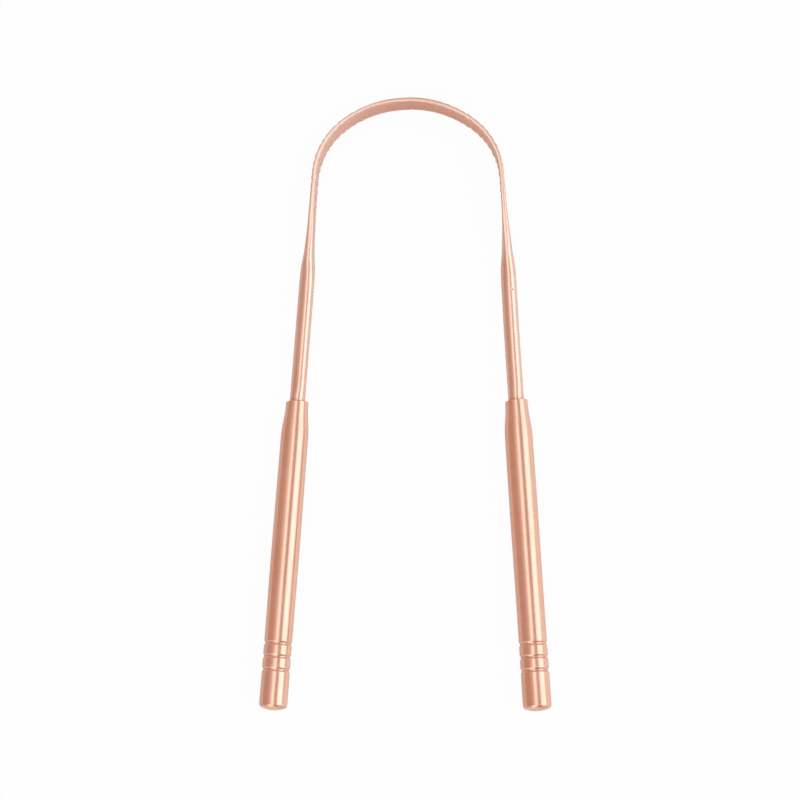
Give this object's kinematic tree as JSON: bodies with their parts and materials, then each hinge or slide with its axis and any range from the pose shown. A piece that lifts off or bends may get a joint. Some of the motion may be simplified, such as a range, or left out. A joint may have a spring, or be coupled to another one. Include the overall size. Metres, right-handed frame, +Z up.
{
  "type": "tongue scraper",
  "caption": "U-shaped copper tongue scraper: a springy rod bow pressed flat into a scraping strip over its crown, with slim swaged tube handles that have rolled grooves and domed ends.",
  "frame": {"origin": "middle of the part's footprint on the table that it lies flat on", "axes": "+Y from the handles to the crown of the bow, +X to the right as seen from above with the crown away from the viewer, +Z up from the table"},
  "size_m": [0.0664, 0.1454, 0.0065],
  "materials": {
    "bow_copper": "bare copper, drawn and pressed, lightly polished",
    "handle_copper": "bare copper, drawn lengthwise, lightly polished",
    "plug_copper": "bare copper, turned"
  },
  "bodies": {
    "root": {"scraper_bow": "bow_copper", "left_handle_tube": "handle_copper", "right_handle_tube": "handle_copper", "left_end_plug": "plug_copper", "right_end_plug": "plug_copper"}
  },
  "joints": []
}
